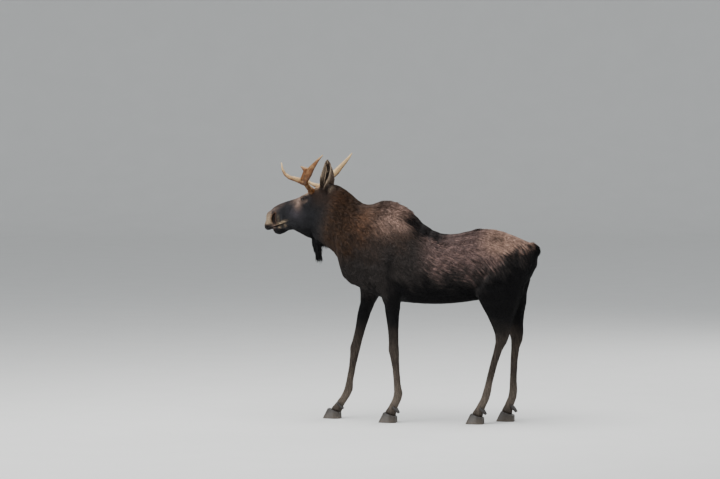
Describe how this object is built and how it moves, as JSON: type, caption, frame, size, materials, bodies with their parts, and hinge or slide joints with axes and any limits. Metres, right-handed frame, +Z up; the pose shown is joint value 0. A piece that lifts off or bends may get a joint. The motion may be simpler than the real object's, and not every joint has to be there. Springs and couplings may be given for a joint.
{
  "type": "moose",
  "caption": "Life-size young bull moose, walking with every hoof on the ground, with a high shoulder hump, a long overhanging nose, a bell and small forked antlers.",
  "frame": {"origin": "on the ground, under the middle of the bounding box", "axes": "+X from the nose towards the tail, +Y towards the animal's right side, +Z up"},
  "size_m": [2.2612, 0.6806, 2.1425],
  "materials": {
    "coat": "dense dark brown hair, matte",
    "leg_coat": "short grey-brown hair, matte",
    "ear": "short grey-brown hair, paler inside",
    "bell": "long black hair",
    "antler": "bare bone, orange brown with pale points",
    "hoof": "dark horn, lightly worn",
    "eye": "wet and very dark brown"
  },
  "bodies": {
    "root": {"head": "coat", "neck": "coat", "trunk": "coat", "tail": "coat", "bell": "bell", "ear_left": "ear", "ear_right": "ear", "eye_left": "eye", "eye_right": "eye", "foreleg_left": "leg_coat", "foreleg_right": "leg_coat", "hindleg_left": "leg_coat", "hindleg_right": "leg_coat", "antler_left_beam": "antler", "antler_left_front_tine": "antler", "antler_left_middle_tine": "antler", "antler_left_rear_tine": "antler", "antler_right_beam": "antler", "antler_right_front_tine": "antler", "antler_right_middle_tine": "antler", "antler_right_rear_tine": "antler", "hoof_fore_left_inner": "hoof", "hoof_fore_left_outer": "hoof", "hoof_fore_right_inner": "hoof", "hoof_fore_right_outer": "hoof", "hoof_hind_left_inner": "hoof", "hoof_hind_left_outer": "hoof", "hoof_hind_right_inner": "hoof", "hoof_hind_right_outer": "hoof", "dewclaw_fore_left_inner": "hoof", "dewclaw_fore_left_outer": "hoof", "dewclaw_fore_right_inner": "hoof", "dewclaw_fore_right_outer": "hoof", "dewclaw_hind_left_inner": "hoof", "dewclaw_hind_left_outer": "hoof", "dewclaw_hind_right_inner": "hoof", "dewclaw_hind_right_outer": "hoof"}
  },
  "joints": []
}
